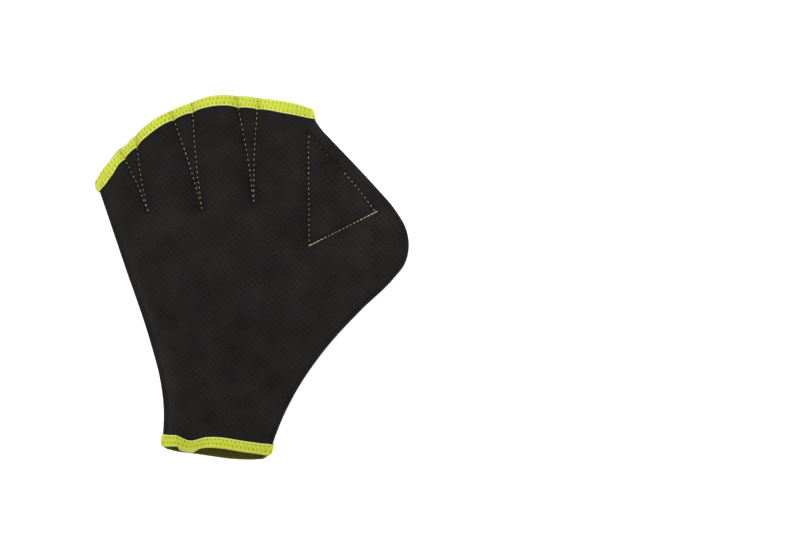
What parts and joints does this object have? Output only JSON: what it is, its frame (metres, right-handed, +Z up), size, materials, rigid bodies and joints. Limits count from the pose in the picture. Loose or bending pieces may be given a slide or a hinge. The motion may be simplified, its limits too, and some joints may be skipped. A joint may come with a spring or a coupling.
{
  "type": "webbed swim glove",
  "caption": "Fingerless webbed swim glove lying flat, with stitched webs between open finger channels, a closed thumb pocket and bound edges.",
  "frame": {"origin": "middle of the footprint, on the surface the glove lies on", "axes": "+X toward the thumb, +Y toward the fingers, +Z up out of the upper face"},
  "size_m": [0.1946, 0.2258, 0.0189],
  "materials": {
    "black_fabric": "matte, finely dotted knit on foam",
    "yellow_green_tape": "stretch binding tape with zigzag stitching"
  },
  "bodies": {
    "root": {"upper_panel": "black_fabric", "lower_panel": "black_fabric", "upper_finger_binding": "yellow_green_tape", "lower_finger_binding": "yellow_green_tape", "cuff_binding": "yellow_green_tape"}
  },
  "joints": []
}
